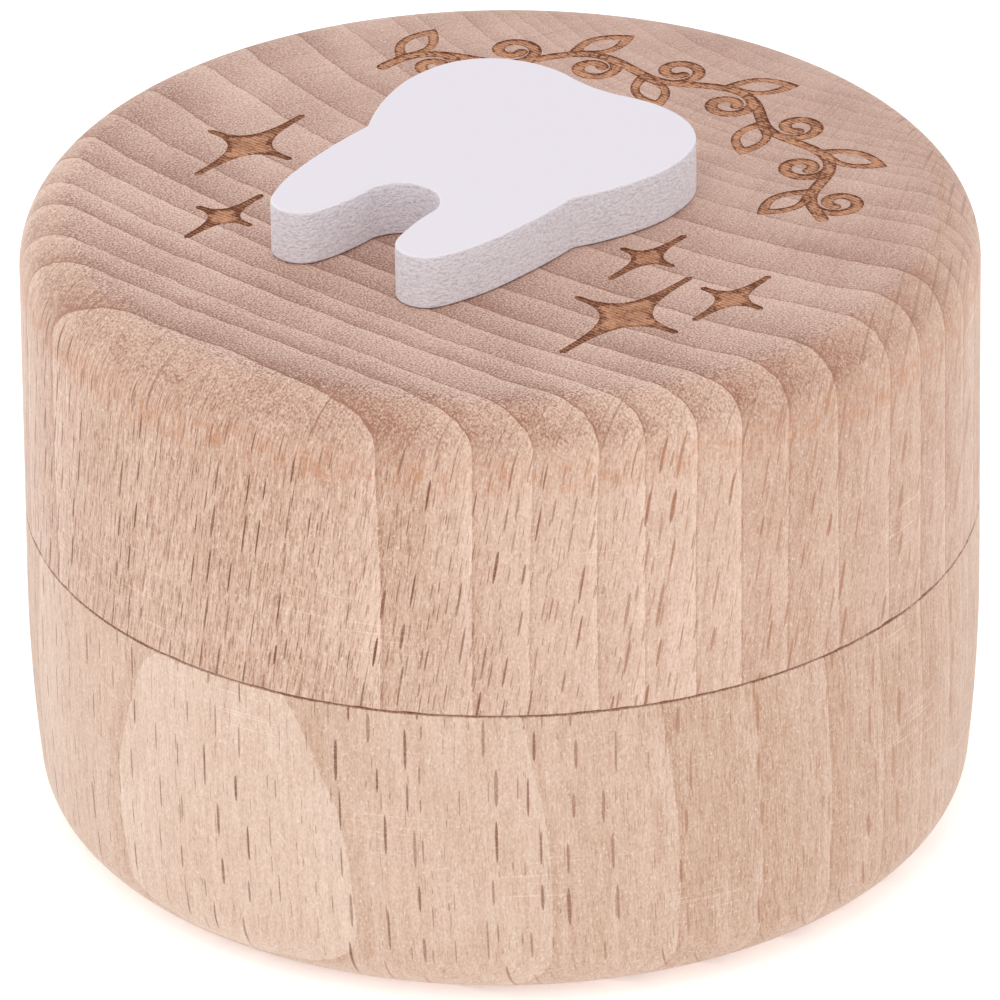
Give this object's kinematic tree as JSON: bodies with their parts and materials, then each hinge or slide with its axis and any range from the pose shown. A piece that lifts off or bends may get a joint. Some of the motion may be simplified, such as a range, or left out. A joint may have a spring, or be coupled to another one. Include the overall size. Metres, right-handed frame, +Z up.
{
  "type": "keepsake box",
  "caption": "Round turned wooden keepsake box for milk teeth, with a press-on lid that carries a flat white tooth.",
  "frame": {"origin": "middle of the flat underside of the base", "axes": "+Z up through the lid, +Y from the tooth's roots to its crown, +X to the tooth's right"},
  "size_m": [0.05, 0.05, 0.0375],
  "materials": {
    "beech": "sanded, with a thin matt oil",
    "painted_wood": "matt white paint",
    "clear_glue": "dried wood glue"
  },
  "bodies": {
    "box_base": {"base": "beech"},
    "box_lid": {"lid": "beech", "glue_film": "clear_glue", "tooth": "painted_wood"}
  },
  "joints": [
    {"name": "lid_lift", "type": "slide", "parent": "box_base", "child": "box_lid", "axis": [0, 0, 1], "range_m": [0, 0.04]}
  ]
}
